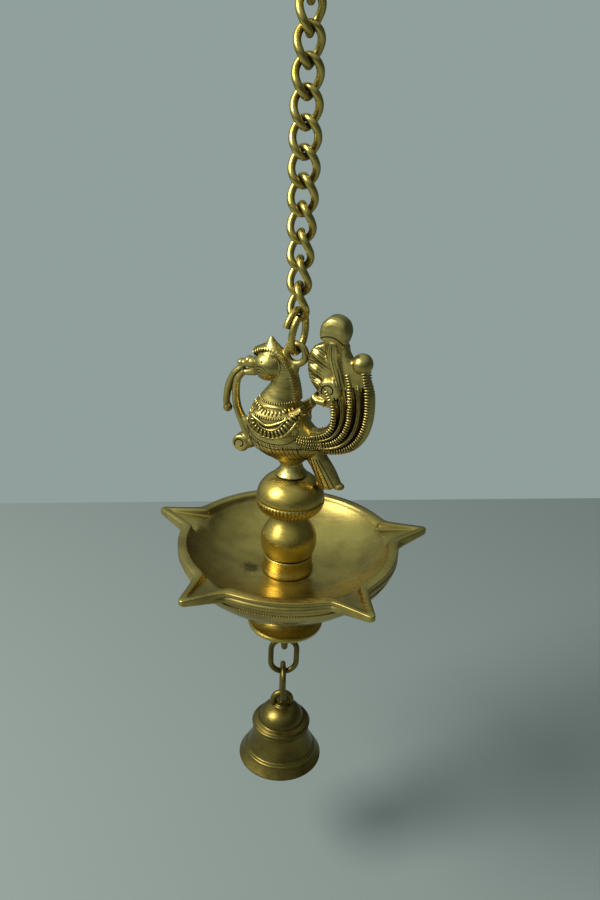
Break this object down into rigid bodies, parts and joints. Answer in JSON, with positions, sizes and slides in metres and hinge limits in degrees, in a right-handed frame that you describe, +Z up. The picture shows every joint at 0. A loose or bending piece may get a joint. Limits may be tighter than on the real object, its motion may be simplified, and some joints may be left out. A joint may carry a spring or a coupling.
{
  "type": "hanging oil lamp",
  "caption": "Hanging brass oil lamp: curb chain, cast peacock on a turned pillar, spouted oil dish with wick spouts and a bell hung below.",
  "frame": {"origin": "on the seat inside the top of the hanging ring, where a hook carries the lamp", "axes": "+Z up along the chain, X in the plane of the peacock with its tail on +X and its beak on -X, Y across it"},
  "size_m": [0.1038, 0.109, 0.3291],
  "materials": {
    "cast_brass": "aged cast brass, satin, dark in the recesses",
    "turned_brass": "aged turned brass, satin",
    "drawn_brass": "aged drawn brass wire",
    "dark_brass": "dull brass"
  },
  "bodies": {
    "hanging_ring": {"hanging_ring": "drawn_brass"},
    "chain_link_01": {"chain_link_01": "drawn_brass"},
    "chain_link_02": {"chain_link_02": "drawn_brass"},
    "chain_link_03": {"chain_link_03": "drawn_brass"},
    "chain_link_04": {"chain_link_04": "drawn_brass"},
    "chain_link_05": {"chain_link_05": "drawn_brass"},
    "chain_link_06": {"chain_link_06": "drawn_brass"},
    "chain_link_07": {"chain_link_07": "drawn_brass"},
    "chain_link_08": {"chain_link_08": "drawn_brass"},
    "chain_link_09": {"chain_link_09": "drawn_brass"},
    "chain_link_10": {"chain_link_10": "drawn_brass"},
    "chain_link_11": {"chain_link_11": "drawn_brass"},
    "chain_link_12": {"chain_link_12": "drawn_brass"},
    "end_link": {"end_link": "drawn_brass"},
    "lamp": {"peacock": "cast_brass", "pillar": "turned_brass", "tie_stud": "dark_brass", "oil_dish": "cast_brass", "foot": "turned_brass", "foot_eye": "drawn_brass"},
    "bell_link_upper": {"bell_link_upper": "drawn_brass"},
    "bell_link_lower": {"bell_link_lower": "drawn_brass"},
    "bell": {"bell": "cast_brass", "clapper_staple": "dark_brass"},
    "clapper": {"clapper": "dark_brass"}
  },
  "joints": [
    {"name": "link_01_swing", "type": "hinge", "parent": "hanging_ring", "child": "chain_link_01", "pos_m": [0, 0, -0.0196], "axis": [-0.4848, 0.8746, 0], "range_deg": [-25, 25]},
    {"name": "link_02_swing", "type": "hinge", "parent": "chain_link_01", "child": "chain_link_02", "pos_m": [0, 0, -0.0283], "axis": [-0.4848, 0.8746, 0], "range_deg": [-25, 25]},
    {"name": "link_03_swing", "type": "hinge", "parent": "chain_link_02", "child": "chain_link_03", "pos_m": [0, 0, -0.0343], "axis": [-0.9903, -0.1392, 0], "range_deg": [-25, 25]},
    {"name": "link_04_swing", "type": "hinge", "parent": "chain_link_03", "child": "chain_link_04", "pos_m": [0, 0, -0.0462], "axis": [0.1392, -0.9903, 0], "range_deg": [-25, 25]},
    {"name": "link_05_swing", "type": "hinge", "parent": "chain_link_04", "child": "chain_link_05", "pos_m": [0, 0, -0.0522], "axis": [0.9744, -0.225, 0], "range_deg": [-25, 25]},
    {"name": "link_06_swing", "type": "hinge", "parent": "chain_link_05", "child": "chain_link_06", "pos_m": [0, 0, -0.0641], "axis": [0.225, 0.9744, 0], "range_deg": [-25, 25]},
    {"name": "link_07_swing", "type": "hinge", "parent": "chain_link_06", "child": "chain_link_07", "pos_m": [0, 0, -0.0701], "axis": [-0.829, 0.5592, 0], "range_deg": [-25, 25]},
    {"name": "link_08_swing", "type": "hinge", "parent": "chain_link_07", "child": "chain_link_08", "pos_m": [0, 0, -0.082], "axis": [-0.5592, -0.829, 0], "range_deg": [-25, 25]},
    {"name": "link_09_swing", "type": "hinge", "parent": "chain_link_08", "child": "chain_link_09", "pos_m": [0, 0, -0.088], "axis": [0.5736, -0.8192, 0], "range_deg": [-25, 25]},
    {"name": "link_10_swing", "type": "hinge", "parent": "chain_link_09", "child": "chain_link_10", "pos_m": [0, 0, -0.0999], "axis": [0.8192, 0.5736, 0], "range_deg": [-25, 25]},
    {"name": "link_11_swing", "type": "hinge", "parent": "chain_link_10", "child": "chain_link_11", "pos_m": [0, 0, -0.1059], "axis": [-0.2419, 0.9703, 0], "range_deg": [-25, 25]},
    {"name": "link_12_swing", "type": "hinge", "parent": "chain_link_11", "child": "chain_link_12", "pos_m": [0, 0, -0.1178], "axis": [-0.9703, -0.2419, 0], "range_deg": [-25, 25]},
    {"name": "end_link_swing", "type": "hinge", "parent": "chain_link_12", "child": "end_link", "pos_m": [0, 0, -0.12675], "axis": [0.9981, 0.061, 0], "range_deg": [-20, 20]},
    {"name": "lamp_swing", "type": "hinge", "parent": "end_link", "child": "lamp", "pos_m": [0, 0, -0.1391], "axis": [0.2079, 0.9781, 0], "range_deg": [-15, 15]},
    {"name": "upper_bell_link_swing", "type": "hinge", "parent": "lamp", "child": "bell_link_upper", "pos_m": [0, 0, -0.267], "axis": [0.4226, -0.9063, 0], "range_deg": [-30, 30]},
    {"name": "lower_bell_link_swing", "type": "hinge", "parent": "bell_link_upper", "child": "bell_link_lower", "pos_m": [0, 0, -0.281], "axis": [-0.9063, -0.4226, 0], "range_deg": [-30, 30]},
    {"name": "bell_swing", "type": "hinge", "parent": "bell_link_lower", "child": "bell", "pos_m": [0, 0, -0.29515], "axis": [-0.4226, 0.9063, 0], "range_deg": [-25, 25]},
    {"name": "clapper_swing", "type": "hinge", "parent": "bell", "child": "clapper", "pos_m": [0, 0, -0.30795], "axis": [0.9063, 0.4226, 0], "range_deg": [-20, 20]}
  ]
}
